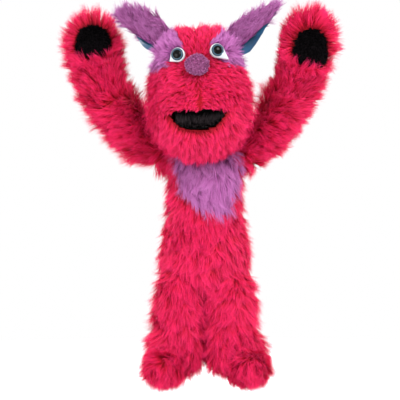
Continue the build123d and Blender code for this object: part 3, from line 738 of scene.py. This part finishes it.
torso_skin = add_body_part(
    "torso", 19, 26, 0.10, 101,
    [
        "torso_pelt_front_upper", "torso_pelt_front_lower", "torso_pelt_back_upper",
        "torso_pelt_back_lower", "torso_stuffing_west", "torso_stuffing_east",
    ],
)
chest = groom(
    "fur_chest", torso_skin, purple_fur, 150, 20, toward((0, 0, -1)), 131,
    lift=24, droop=0.10, spread=9, keep=in_patch,
)
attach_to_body(chest, "torso")
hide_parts("chest_patch")
for n, s in enumerate(SIDES):
    add_body_part(
        f"upper_arm_{s}", 19, 36, 0.12, 201 + n,
        [f"upper_arm_pelt_{s}", f"upper_arm_stuffing_{s}"],
    )
    skin = add_body_part(
        f"forearm_{s}", 19, 44, 0.04, 211 + n,
        [f"forearm_pelt_{s}", f"forearm_stuffing_{s}"],
    )
    pad = keep_faces(skin, f"pad_{s}", in_pad(s, 2.0))
    v, _, nrm = arrays(pad)
    x = (v[:, 0] - pad_middle[s][0]) / pad_half[s][0]
    z = (v[:, 2] - pad_middle[s][2]) / pad_half[s][1]
    lift = 1.2 + 3.0 * np.clip(1 - x * x - z * z, 0, 1) ** 0.5
    reshape(pad, v + nrm * lift[:, None])
    dress(pad, black_backing)
    attach(pad, f"forearm_{s}")
    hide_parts(f"paw_pad_{s}")
    pad_fur = groom(
        f"fur_pad_{s}", pad, black_fur, 420, 4.0, toward((0, 0, -1)), 221 + n,
        lift=60, droop=0.0, spread=30, per_clump=8, width=0.45, segments=3,
    )
    attach(pad_fur, f"forearm_{s}")
    add_body_part(
        f"thigh_{s}", 21, 30, 0.10, 231 + n,
        [f"thigh_pelt_{s}", f"thigh_stuffing_{s}"],
    )
    add_body_part(
        f"foot_{s}", 20, 28, 0.12, 241 + n,
        [f"foot_pelt_{s}", f"foot_stuffing_{s}"],
    )

# ---------------------------------------------------------------- head

head_rows = spread_rows([
    (-17, 2), (-15, 18), (-8, 32), (4, 44), (20, 52), (40, 55), (60, 54), (80, 50.5),
    (100, 46.5), (114, 43), (123, 37), (128, 27), (130, 12), (130.5, 1),
], 70)
muzzle = capsule(in_head(vec(-17, AXIS_Y - 24, 42)), in_head(vec(17, AXIS_Y - 24, 42)), 32, 32)
crown_bar = capsule(in_head(vec(-20, AXIS_Y, 112)), in_head(vec(20, AXIS_Y, 112)), 18, 18)
head_source = soft_union(
    "head_source",
    [turned(in_head(vec(0, AXIS_Y, 0)), head_z, head_x, head_y, head_rows), muzzle, crown_bar],
    3.0, 8,
)

HINGE_Y, HINGE_Z = -37.0, 25.0


def lip_line(q):
    """Height of the upper lip's plane at head-frame points."""
    return HINGE_Z + 0.176 * (HINGE_Y - q[:, 1])


MOUTH_X = -2.5
MOUTH_HALF = 35.5
MOUTH_FRONT_Y = -66.0


def upper_lip(x):
    """Height of the upper lip's edge: a little lower in the middle."""
    corner = np.clip(np.abs(x - MOUTH_X) / MOUTH_HALF, 0, 1) ** 6
    return 36.5 - 2.5 * np.exp(-(((x - MOUTH_X) / 7) ** 2)) - 3 * corner


def lower_lip(x):
    """Height of the lower lip: flat in the middle and up at both corners."""
    return 11.5 + 22.5 * np.clip(np.abs(x - MOUTH_X) / MOUTH_HALF, 0, 1) ** 3


def at_mouth(q):
    """In front of the head between the mouth's corners, at any height."""
    return (np.abs(q[:, 0] - MOUTH_X) < MOUTH_HALF) & (q[:, 1] < MOUTH_FRONT_Y)


def in_mouth(q):
    return at_mouth(q) & (q[:, 2] < upper_lip(q[:, 0])) & (q[:, 2] > lower_lip(q[:, 0]))


def above_lip(q):
    """Over the mouth's upper edge, or over the lips' plane beside the mouth."""
    return (at_mouth(q) & (q[:, 2] >= upper_lip(q[:, 0]))) | (q[:, 2] >= lip_line(q))


def face_low(p):
    """The lower face, below the lips and in front of the hinge."""
    q = to_head(p)
    return (q[:, 1] < HINGE_Y) & ~above_lip(q) & ~in_mouth(q)


def face_high(p):
    """The upper face and the back of the head."""
    q = to_head(p)
    front = (q[:, 1] < HINGE_Y) & above_lip(q) & ~in_mouth(q)
    back = (q[:, 1] >= HINGE_Y) & (q[:, 2] > 4)
    return front | back


def in_brow(p):
    """The purple panels from the ears down round the outer side of each eye."""
    q = to_head(p)
    west = q[:, 0] < 0
    inner = np.where(west, 13 + 0.45 * np.maximum(q[:, 2] - 108, 0), 15 + 1.4 * np.maximum(q[:, 2] - 112, 0))
    inner = inner + 1.6 * np.maximum(99 - q[:, 2], 0)
    low = np.where(west, 92.5, 89)
    return (np.abs(q[:, 0]) > inner) & (q[:, 2] > low) & (q[:, 1] < -28)


def head_comb(p, n):
    """Pile that flows up over the crown, sideways over the muzzle and down the cheeks."""
    q = to_head(p)
    side = np.sign(q[:, 0] + 0.01)
    x, z = q[:, 0], q[:, 2]
    high = np.clip((z - 96) / 14, 0, 1)
    away = unit(np.stack([x, np.zeros(len(x)), z - NOSE_Z], 1))
    cheeks = np.stack([side * (0.9 - 0.3 * np.abs(x) / 50), np.zeros(len(x)), -0.25 - np.abs(x) / 60], 1)
    up = np.stack([side * 0.35, 0.2 * np.ones(len(x)), np.ones(len(x))], 1)
    local = cheeks * (1 - high[:, None]) + up * high[:, None]
    near = np.exp(-((x**2 + (z - NOSE_Z) ** 2) / 900))[:, None]
    local = local * (1 - near) + away * near
    return unit(local[:, :1] * head_x + local[:, 1:2] * head_y + local[:, 2:3] * head_z)


def face_length(p, n):
    """Short pile on the muzzle and round the eyes, longer on the cheeks, crown and back."""
    q = to_head(p)
    front = np.clip((-q[:, 1] - 62) / 30, 0, 1)
    middle = np.clip(1 - np.abs(q[:, 0]) / 60, 0, 1)
    short = 1.0 - 0.42 * front * (0.4 + 0.6 * middle) + 0.3 * np.clip((np.abs(q[:, 0]) - 38) / 14, 0, 1)
    over_lip = np.clip(1 - (q[:, 2] - upper_lip(q[:, 0])) / 9, 0, 1) * front
    over_lip = over_lip * (np.abs(q[:, 0] - MOUTH_X) < MOUTH_HALF)
    centre = np.exp(-(((q[:, 0] - MOUTH_X) / 9) ** 2))
    return short * (1 - (0.36 + 0.32 * centre) * over_lip)


EYE_Z = 101.5
NOSE_Z = 87.5
eye_middle = {s: vec(1.2 + o * 22.3, AXIS_Y - 46.5, EYE_Z + 1.0 * o) for s, o in SIDES.items()}


def clear_of_face(p):
    """No hair grows under the eyes and the nose."""
    q = to_head(p)
    free = np.ones(len(p), bool)
    front = q[:, 1] < -75
    for s in SIDES:
        d = q - eye_middle[s]
        free &= ~(front & ((d[:, 0] / 9.5) ** 2 + (d[:, 2] / 9) ** 2 < 1))
    d = q - vec(0, 0, NOSE_Z)
    return free & ~(front & (d[:, 0] ** 2 + d[:, 2] ** 2 < 10**2))


head_skin = keep_faces(head_source, "skin_head", lambda p: face_high(p) & ~in_brow(p))
dress(head_skin, red_backing)
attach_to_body(head_skin, "head")
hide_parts("head_pelt_front", "head_pelt_back", "head_stuffing")
head_fur = groom(
    "fur_head", head_skin, red_fur, 190, 13, head_comb, 301,
    lift=34, droop=0.02, keep=clear_of_face, length_map=face_length, per_clump=14, width=0.42, spread=15,
)
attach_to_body(head_fur, "head")

brow_skin = keep_faces(head_source, "skin_brow", lambda p: face_high(p) & in_brow(p))
dress(brow_skin, purple_backing)
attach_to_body(brow_skin, "head")
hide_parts("brow_west", "brow_east")
brow_fur = groom(
    "fur_brow", brow_skin, purple_fur, 190, 13, head_comb, 311,
    lift=32, droop=0.0, keep=clear_of_face, length_map=face_length, per_clump=14, width=0.42, spread=12,
)
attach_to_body(brow_fur, "head")


def jaw_bend(obj):
    """The lower face is only fixed where it stands."""
    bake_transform(obj)


jaw_skin = keep_faces(head_source, "skin_jaw", face_low)
dress(jaw_skin, red_backing)
jaw_bend(jaw_skin)
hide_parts("jaw_pelt", "jaw_stuffing")


def chin_comb(p, n):
    """Down the chin and outward to both sides."""
    q = to_head(p)
    local = np.stack([q[:, 0] / 60, -0.15 * np.ones(len(p)), -np.ones(len(p))], 1)
    return unit(local[:, :1] * head_x + local[:, 1:2] * head_y + local[:, 2:3] * head_z)


jaw_fur = groom(
    "fur_jaw", jaw_skin, red_fur, 170, 14, chin_comb, 321,
    lift=34, droop=0.08, per_clump=14, width=0.45, spread=18,
)
jaw_bend(jaw_fur)

# ---------------------------------------------------------------- mouth


def mouth_sheet(name, front_curve, dome, sag, flip):
    """Black plush from the lip back to the hinge, a little hollow."""
    across, deep = 33, 14
    verts = []
    for j in range(deep):
        t = j / (deep - 1)
        for i in range(across):
            x = MOUTH_X - 39 + 78 * i / (across - 1)
            reach = AXIS_Y - math.sqrt(max(53.5**2 - x * x, 0)) - 1.5
            y = reach + (HINGE_Y - 4 - reach) * t
            z = front_curve(x) * (1 - t) + (HINGE_Z + dome * 0.6) * t - dome * sag * math.sin(math.pi * t)
            verts.append(in_head(vec(x, y, z)))
    return new_mesh(name, verts, [f[::-1] if flip else f for f in grid_faces(deep, across)])


upper = mouth_sheet("mouth_upper", lambda x: float(upper_lip(x)) - 0.5, -1, -1.5, True)
lower = mouth_sheet("mouth_lower", lambda x: float(lower_lip(x)) + 1.0, 1, -1.0, False)
for obj, nodes in (
    (upper, ["upper_mouth_lining", "upper_mouth_board"]),
    (lower, ["lower_mouth_lining", "lower_mouth_board"]),
):
    dress(obj, black_backing)
    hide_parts(*nodes)
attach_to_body(upper, "head")
jaw_bend(lower)
up_fur = groom(
    "fur_mouth_upper", upper, mouth_fur, 300, 11, toward(-head_z - head_y * 0.2), 331,
    lift=58, droop=0.1, per_clump=9, width=0.6, segments=4,
    keep=lambda p: (np.abs(to_head(p)[:, 1] + 89) < 9) & (np.abs(p[:, 0] - MOUTH_X) < 33),
)
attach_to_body(up_fur, "head")
low_fur = groom(
    "fur_mouth_lower", lower, mouth_fur, 300, 7, toward(-head_y), 341,
    lift=50, droop=0.5, per_clump=9, width=0.6, segments=4,
    keep=lambda p: (np.abs(to_head(p)[:, 1] + 88) < 8) & (np.abs(p[:, 0] - MOUTH_X) < 28),
)
jaw_bend(low_fur)

# ---------------------------------------------------------------- eyes and nose


def eye_frame(s):
    """Middle, right, up and outward directions of an eye, looking forward and a little outward."""
    o = SIDES[s]
    out = unit(head_y * -1 + head_x * 0.26 * o + head_z * 0.12)
    right = unit(np.cross(head_z, out) * -1)
    right = right if right @ head_x > 0 else -right
    up = unit(np.cross(out, right))
    up = up if up @ head_z > 0 else -up
    return in_head(eye_middle[s]), right, up, out


TEAR = {"west": (215.0, 12.6), "east": (-40.0, 17.4)}


EYE_RADIUS = 8.5


def tear_reach(s, angle):
    """Distance to the eye's outline: a circle drawn out to one point."""
    tip, far = TEAR[s]
    away = abs((angle - math.radians(tip) + math.pi) % (2 * math.pi) - math.pi)
    half = math.acos(EYE_RADIUS / far)
    return EYE_RADIUS if away > half else EYE_RADIUS / math.cos(half - away)


def dome(name, s, reach, height, base, shape):
    """A domed disc on an eye's plane with its own round map."""
    middle, right, up, out = eye_frame(s)
    around, rings = 72, 14
    verts, faces = [], []
    for j in range(rings + 1):
        t = j / rings
        for k in range(around):
            a = 2 * math.pi * k / around
            d = reach(a) * t
            h = base + height * (1 - t * t) ** shape
            verts.append(middle + right * (d * math.cos(a)) + up * (d * math.sin(a)) + out * h)
    for k in range(around):
        a = 2 * math.pi * k / around
        d = reach(a) * 0.97
        verts.append(middle + right * (d * math.cos(a)) + up * (d * math.sin(a)) + out * (base - 3))
    for j in range(rings + 1):
        for k in range(around):
            n = (k + 1) % around
            faces.append((j * around + k, (j + 1) * around + k, (j + 1) * around + n, j * around + n))
    obj = new_mesh(name, verts, faces)
    layer = obj.data.uv_layers.new(name="OFBake")
    for poly in obj.data.polygons:
        j, k = divmod(poly.index, around)
        for loop, (jj, kk) in zip(poly.loop_indices, ((j, k), (j + 1, k), (j + 1, k + 1), (j, k + 1))):
            layer.data[loop].uv = (0.02 + 0.9 * min(jj / (rings + 1), 1), 0.02 + 0.95 * kk / around)
    return obj


for s in SIDES:
    white = dome(f"eye_white_piece_{s}", s, lambda a, s=s: tear_reach(s, a), 3.2, 3.2, shape=0.55)
    dress(white, eye_white_mat)
    iris = dome(f"iris_piece_{s}", s, lambda a: 7.3, 1.6, 5.6, shape=0.7)
    dress(iris, iris_mat)
    pupil = dome(f"pupil_piece_{s}", s, lambda a: 5.5, 2.6, 5.7, shape=0.5)
    dress(pupil, pupil_mat)
    for piece, node in ((white, "eye_white"), (iris, "iris"), (pupil, "pupil")):
        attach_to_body(piece, "head")
        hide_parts(f"{node}_{s}")

NOSE_DEEP, NOSE_WIDE = 11.0, 12.0
nose_turns = np.linspace(0, math.pi, 27)
nose_rows = [(-NOSE_DEEP * math.cos(a), NOSE_WIDE * max(math.sin(a), 0.002)) for a in nose_turns]
nose_at = in_head(vec(0, AXIS_Y - 56.5, NOSE_Z))
nose_v, nose_f = turned(nose_at, -head_y, head_x, head_z, nose_rows, 40)
nose_q = to_head(nose_v) - to_head(nose_at)
nose_q = nose_q * vec(1.11, 1.15, 0.94)
nose_v = nose_at + nose_q[:, :1] * head_x + nose_q[:, 1:2] * head_y + nose_q[:, 2:3] * head_z
nose_v = nose_v + unit(nose_v - nose_at) * (0.45 * wave(nose_v, 7, 61))[:, None]
nose = new_mesh("nose_ball", nose_v, nose_f)
dress(nose, velour)
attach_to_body(nose, "head")
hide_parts("nose_cover", "nose_filling")
fuzz = groom(
    "fuzz_nose", nose, nose_fuzz, 420, 2.3, toward((0.1, 0, -1)), 401,
    lift=60, droop=0, spread=70, per_clump=9, width=0.5, segments=2, curl=0.3, clump=0.7, tone_scale=5,
)
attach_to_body(fuzz, "head")

# ---------------------------------------------------------------- ears

EAR_ANGLE = {"west": 31.0, "east": 34.0}
EAR_RISE = {"west": 6.0, "east": -5.0}
EAR_LONG = {"west": 58.0, "east": 72.0}
EAR_WIDE = {"west": 23.0, "east": 18.5}
EAR_POINT = {"west": 2.8, "east": 1.9}
EAR_LOW = {"west": -0.42, "east": -0.5}
SATIN_LOW = {"west": -0.85, "east": -1.2}
SATIN_FADE = {"west": 0.62, "east": 0.3}
EAR_SWEEP = {"west": 0.38, "east": 0.14}


def ear_frame(s):
    """An ear's root and its directions to the tip and to its upper edge."""
    o = SIDES[s]
    a = math.radians(EAR_ANGLE[s])
    along = head_x * o * math.cos(a) + head_z * math.sin(a)
    above = unit(np.cross(along, head_y) * o)
    above = above if above @ head_z > 0 else -above
    return joint_place(f"ear_flop_{s}") + head_z * EAR_RISE[s], along, above


def ear_piece(name, s, low, high, back, curl, fade=0.0):
    """A cupped leaf of cloth: low and high are how far each edge goes, as shares of the half width.
    Towards the tip the fade draws the low edge in."""
    root, along, above = ear_frame(s)
    deep, across = 26, 16
    verts, faces = [], []
    for j in range(deep):
        t = j / (deep - 1)
        half = EAR_WIDE[s] * (0.7 + 0.3 * min(t * 4, 1)) * (1 - t ** EAR_POINT[s]) ** 0.8 + 0.3
        for i in range(across):
            edge = low * (1 - fade * min(t * 1.6, 1) ** 2)
            c = edge + (high - edge) * i / (across - 1)
            dip = -curl * max(-c - 0.25, 0) ** 1.5 * 9 + 1.2 * (1 - c * c) * (1 - t)
            place = root + along * (-6 + (EAR_LONG[s] + 6) * t) + above * half * c + head_y * (back + dip)
            place = place + above * 4 * t * t * (1 - 0.5 * t) + head_y * 2.0 * math.sin(3 * t + 1)
            verts.append(place)
    for j in range(deep - 1):
        for i in range(across - 1):
            faces.append((j * across + i, (j + 1) * across + i, (j + 1) * across + i + 1, j * across + i + 1))
    obj = new_mesh(name, verts, faces)
    _, _, normals = arrays(obj)
    if normals[:, 1].mean() > 0:
        obj.data.flip_normals()
    return obj


def ear_bend(obj):
    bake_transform(obj)


for n, s in enumerate(SIDES):
    _, along, above = ear_frame(s)
    leaf = ear_piece(f"ear_leaf_{s}", s, EAR_LOW[s], 1.0, -3.0, 0.4)
    dress(leaf, purple_backing)
    ear_bend(leaf)
    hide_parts(f"ear_fur_{s}")
    lining = ear_piece(f"ear_lining_{s}", s, SATIN_LOW[s], 0.96, 0.6, 1.0, fade=SATIN_FADE[s])
    v, _, nrm = arrays(lining)
    reshape(lining, v + nrm * (0.7 * wave(v, 16, 71 + n))[:, None])
    dress(lining, satin)
    ear_bend(lining)
    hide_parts(f"ear_satin_{s}")
    for cloth in (lining, leaf):
        # The area is the finished mesh's own and not the cut's; it is worked out here and not used. The
        # area is the finished mesh's own and not the cut's, so this sheet's area test shows nothing
        skin_area(cloth) * MM * MM
    front = groom(
        f"fur_ear_{s}", leaf, ear_fur, 230, 15,
        toward(along + above * EAR_SWEEP[s]), 501 + n,
        lift=26, droop=0.0, spread=16, per_clump=14, width=0.42, curl=0.1,
    )
    ear_bend(front)
    back_skin = keep_faces(leaf, f"ear_back_{s}", lambda p: np.ones(len(p), bool))
    reshape(back_skin, arrays(back_skin)[0] + head_y * 4.6)
    back_skin.data.flip_normals()
    dress(back_skin, purple_backing)
    ear_bend(back_skin)
    # The area is the finished mesh's own and not the cut's; it is worked out here and not used. The
    # area is the finished mesh's own and not the cut's, so this sheet's area test shows nothing
    skin_area(back_skin) * MM * MM
    back = groom(
        f"fur_ear_back_{s}", back_skin, ear_fur, 170, 13,
        toward(along + above * 0.2), 511 + n,
        lift=26, droop=0.0, spread=16, per_clump=14, width=0.45, curl=0.1,
    )
    ear_bend(back)

# ---------------------------------------------------------------- neck and hand opening

NECK_RADIUS = 37.0
neck_turns = np.radians(np.linspace(48, 150, 30))
neck_rows = [(-NECK_RADIUS * math.cos(a), NECK_RADIUS * math.sin(a)) for a in neck_turns]
neck_lean = vec(0, 0.35, 0.94)
nv, nf = turned(neck, neck_lean, vec(1, 0, 0), unit(np.cross(neck_lean, vec(1, 0, 0))), neck_rows, 56)
nape = new_mesh("skin_neck", nv, nf[:-2])
dress(nape, red_backing)
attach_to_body(nape, "neck")
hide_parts("neck_pelt", "neck_lining")
nape_fur = groom(
    "fur_neck", nape, red_fur, 170, 24, toward((0, 0.3, -1)), 601,
    lift=48, droop=0.05, keep=lambda p: (p[:, 1] > -62),
)
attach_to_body(nape_fur, "neck")

BEND = math.radians(50)
BEND_RADIUS = 60.0
SLEEVE_RADIUS = 34.6
HEM_RADIUS = 36.2
STITCH_RADIUS = 35.2
STITCHES = 64
LABEL_RADIUS = 41.5


def sleeve_line(steps):
    """Middle points and directions of the hand's way in: straight, a bend, then upright."""
    inward = -hem_out
    start = inward * 8
    turn_at = inward * 24.2
    reach = BEND_RADIUS * math.tan(BEND / 2)
    corner = turn_at + inward * reach
    rows = []
    for i in range(8):
        rows.append((start + (turn_at - start) * i / 8, inward))
    to_centre = unit(np.cross(vec(1, 0, 0), inward))
    centre = turn_at + BEND_RADIUS * to_centre * (1 if to_centre[2] > 0 else -1)
    for i in range(12):
        a = BEND * i / 12
        along = unit(inward * math.cos(a) + unit(vec(0, 0, 1) - inward * inward[2]) * math.sin(a))
        spoke = unit(turn_at - centre)
        side = np.cross(vec(1, 0, 0), along)
        side = side if side @ spoke > 0 else -side
        rows.append((centre + side * BEND_RADIUS, along))
    top = corner + vec(0, 0, 1) * reach
    for i in range(steps + 1):
        rows.append((top + (vec(0, TORSO_Y, 147) - top) * i / steps, vec(0, 0, 1)))
    return rows


verts, faces, around = [], [], 56
rows = sleeve_line(18)
for place, along in rows:
    up = unit(np.cross(along, vec(1, 0, 0)))
    for k in range(around):
        a = 2 * math.pi * k / around
        verts.append(place + SLEEVE_RADIUS * (vec(1, 0, 0) * math.cos(a) + up * math.sin(a)))
verts = np.array(verts)
middles = np.repeat(np.array([p for p, _ in rows]), around, 0)
verts = verts + unit(verts - middles) * (0.9 * wave(verts, 22, 81) + 0.5 * wave(verts, 8, 82))[:, None]
for j in range(len(rows) - 1):
    for k in range(around):
        n = (k + 1) % around
        faces.append((j * around + k, j * around + n, (j + 1) * around + n, (j + 1) * around + k))
tube = new_mesh("sleeve_cloth", verts, faces)
dress(tube, cotton)
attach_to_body(tube, "torso")
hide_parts("sleeve_lining")

hem_profile = []
for i in range(33):
    a = 2 * math.pi * i / 32
    x, y = math.cos(a), math.sin(a)
    hem_profile.append((
        -6 + 6.2 * math.copysign(abs(x) ** 0.5, x),
        HEM_RADIUS + 2.0 * math.copysign(abs(y) ** 0.6, y),
    ))
hem_up = unit(np.cross(vec(1, 0, 0), hem_out))
hv, hf = turned(vec(0, 0, 0), hem_out, vec(1, 0, 0), hem_up, hem_profile, 72)
hv = hv + (hv - (hv @ hem_out)[:, None] * hem_out) * (0.006 * wave(hv, 14, 91))[:, None]
hem = new_mesh("hem_fold", hv, hf[:-2])
dress(hem, cotton)
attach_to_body(hem, "torso")
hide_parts("hem_band")
sv, sf, start = [], [], 0
for k in range(STITCHES):
    turns = [2 * math.pi * (k + share) / STITCHES for share in (0.2, 0.75)]
    spokes = [vec(1, 0, 0) * math.cos(a) + hem_up * math.sin(a) for a in turns]
    tips = [hem_out * 0.5 + STITCH_RADIUS * spoke for spoke in spokes]
    v, f = capsule(tips[0], tips[1], 0.32, 0.32, rings=4, around=8)
    sv.append(v)
    sf += [tuple(i + start for i in face) for face in f]
    start += len(v)
stitches = new_mesh("hem_stitches", np.concatenate(sv), sf)
dress(stitches, red_backing)
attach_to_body(stitches, "torso")

label_up = unit(hem_up) * (1 if hem_up[2] > 0 else -1)
label_at = label_up * LABEL_RADIUS
lv = []
for j in range(10):
    for i in range(14):
        x, t = -11 + 22 * i / 13, j / 9
        rise = 1.2 + 1.6 * math.sin(2.4 * t) + 0.3 * math.sin(x / 4)
        lv.append(label_at + vec(x, 0, 0) + hem_out * (-9 + 14 * t) + label_up * rise)
label = new_mesh("label_tape", lv, grid_faces(10, 14))
dress(label, tape)
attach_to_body(label, "torso")
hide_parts("care_label")

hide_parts("finger_pocket")
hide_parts("thumb_pocket")
for s in SIDES:
    for place in frame["nodes"][f"eye_washer_{s}"].material_slots:
        place.material = washer_mat

for source in (body, head_source):
    bpy.data.objects.remove(source)

# ---------------------------------------------------------------- stage

FLOOR_Z = -158.0
FLOOR_REACH = 900.0
floor_mat, floor_nt, floor_bsdf = nodes_of("pale_floor")
floor_coord = floor_nt.nodes.new("ShaderNodeTexCoord")
floor_grain = floor_nt.nodes.new("ShaderNodeTexNoise")
floor_grain.inputs["Scale"].default_value = 3
floor_nt.links.new(floor_coord.outputs["Object"], floor_grain.inputs["Vector"])
pale = ramp(floor_nt, floor_grain.outputs["Fac"], [(0.3, (0.9, 0.9, 0.9, 1)), (0.7, (0.93, 0.93, 0.93, 1))])
floor_nt.links.new(pale, floor_bsdf.inputs["Base Color"])
floor_bsdf.inputs["Roughness"].default_value = 0.9
floor_bsdf.inputs["Specular IOR Level"].default_value = 0.0
fade = floor_nt.nodes.new("ShaderNodeTexGradient")
fade.gradient_type = "SPHERICAL"
fade_place = floor_nt.nodes.new("ShaderNodeMapping")
fade_place.inputs["Scale"].default_value = (1000 / FLOOR_REACH,) * 3
floor_nt.links.new(floor_coord.outputs["Object"], fade_place.inputs["Vector"])
floor_nt.links.new(fade_place.outputs[0], fade.inputs["Vector"])
solid = ramp(floor_nt, fade.outputs["Fac"], [(0.0, (0, 0, 0, 1)), (0.5, (1, 1, 1, 1))])
floor_nt.links.new(solid, floor_bsdf.inputs["Alpha"])
fv = [
    (FLOOR_REACH * math.cos(2 * math.pi * k / 96), FLOOR_REACH * math.sin(2 * math.pi * k / 96), 0)
    for k in range(96)
]
floor = new_mesh("studio_floor", fv, [tuple(range(96))])
floor.location = (0, 0, FLOOR_Z * MM)
floor.data.materials.append(floor_mat)


def area_light(name, place, aim, size, power):
    data = bpy.data.lights.new(name, "AREA")
    data.shape = "DISK"
    data.size = size
    data.energy = power
    obj = bpy.data.objects.new(name, data)
    bpy.context.scene.collection.objects.link(obj)
    obj.location = place
    obj.rotation_euler = (Vector(aim) - Vector(place)).to_track_quat("-Z", "Y").to_euler()


area_light("key", (0.9, -1.7, 1.3), (0, -0.05, 0.1), 1.1, 46)
area_light("fill", (-1.2, -1.7, 0.15), (0, -0.05, 0.02), 1.4, 24)
area_light("rim_left", (-1.2, 0.8, 1.2), (0, 0, 0.1), 0.8, 16)
area_light("rim_right", (1.3, 0.8, 0.9), (0, 0, 0.1), 0.8, 16)

world = bpy.data.worlds.new("studio")
bpy.context.scene.world = world
bpy.context.scene.view_settings.view_transform = "Standard"
world.use_nodes = True
world.node_tree.nodes["Background"].inputs[0].default_value = (1, 1, 1, 1)
world.node_tree.nodes["Background"].inputs[1].default_value = 1.0

cam_data = bpy.data.cameras.new("camera")
cam_data.lens = 150
camera = bpy.data.objects.new("camera", cam_data)
bpy.context.scene.collection.objects.link(camera)
camera.location = (-0.006, -2.08, 0.088)
camera.rotation_euler = (math.radians(90), 0, 0)
bpy.context.scene.camera = camera
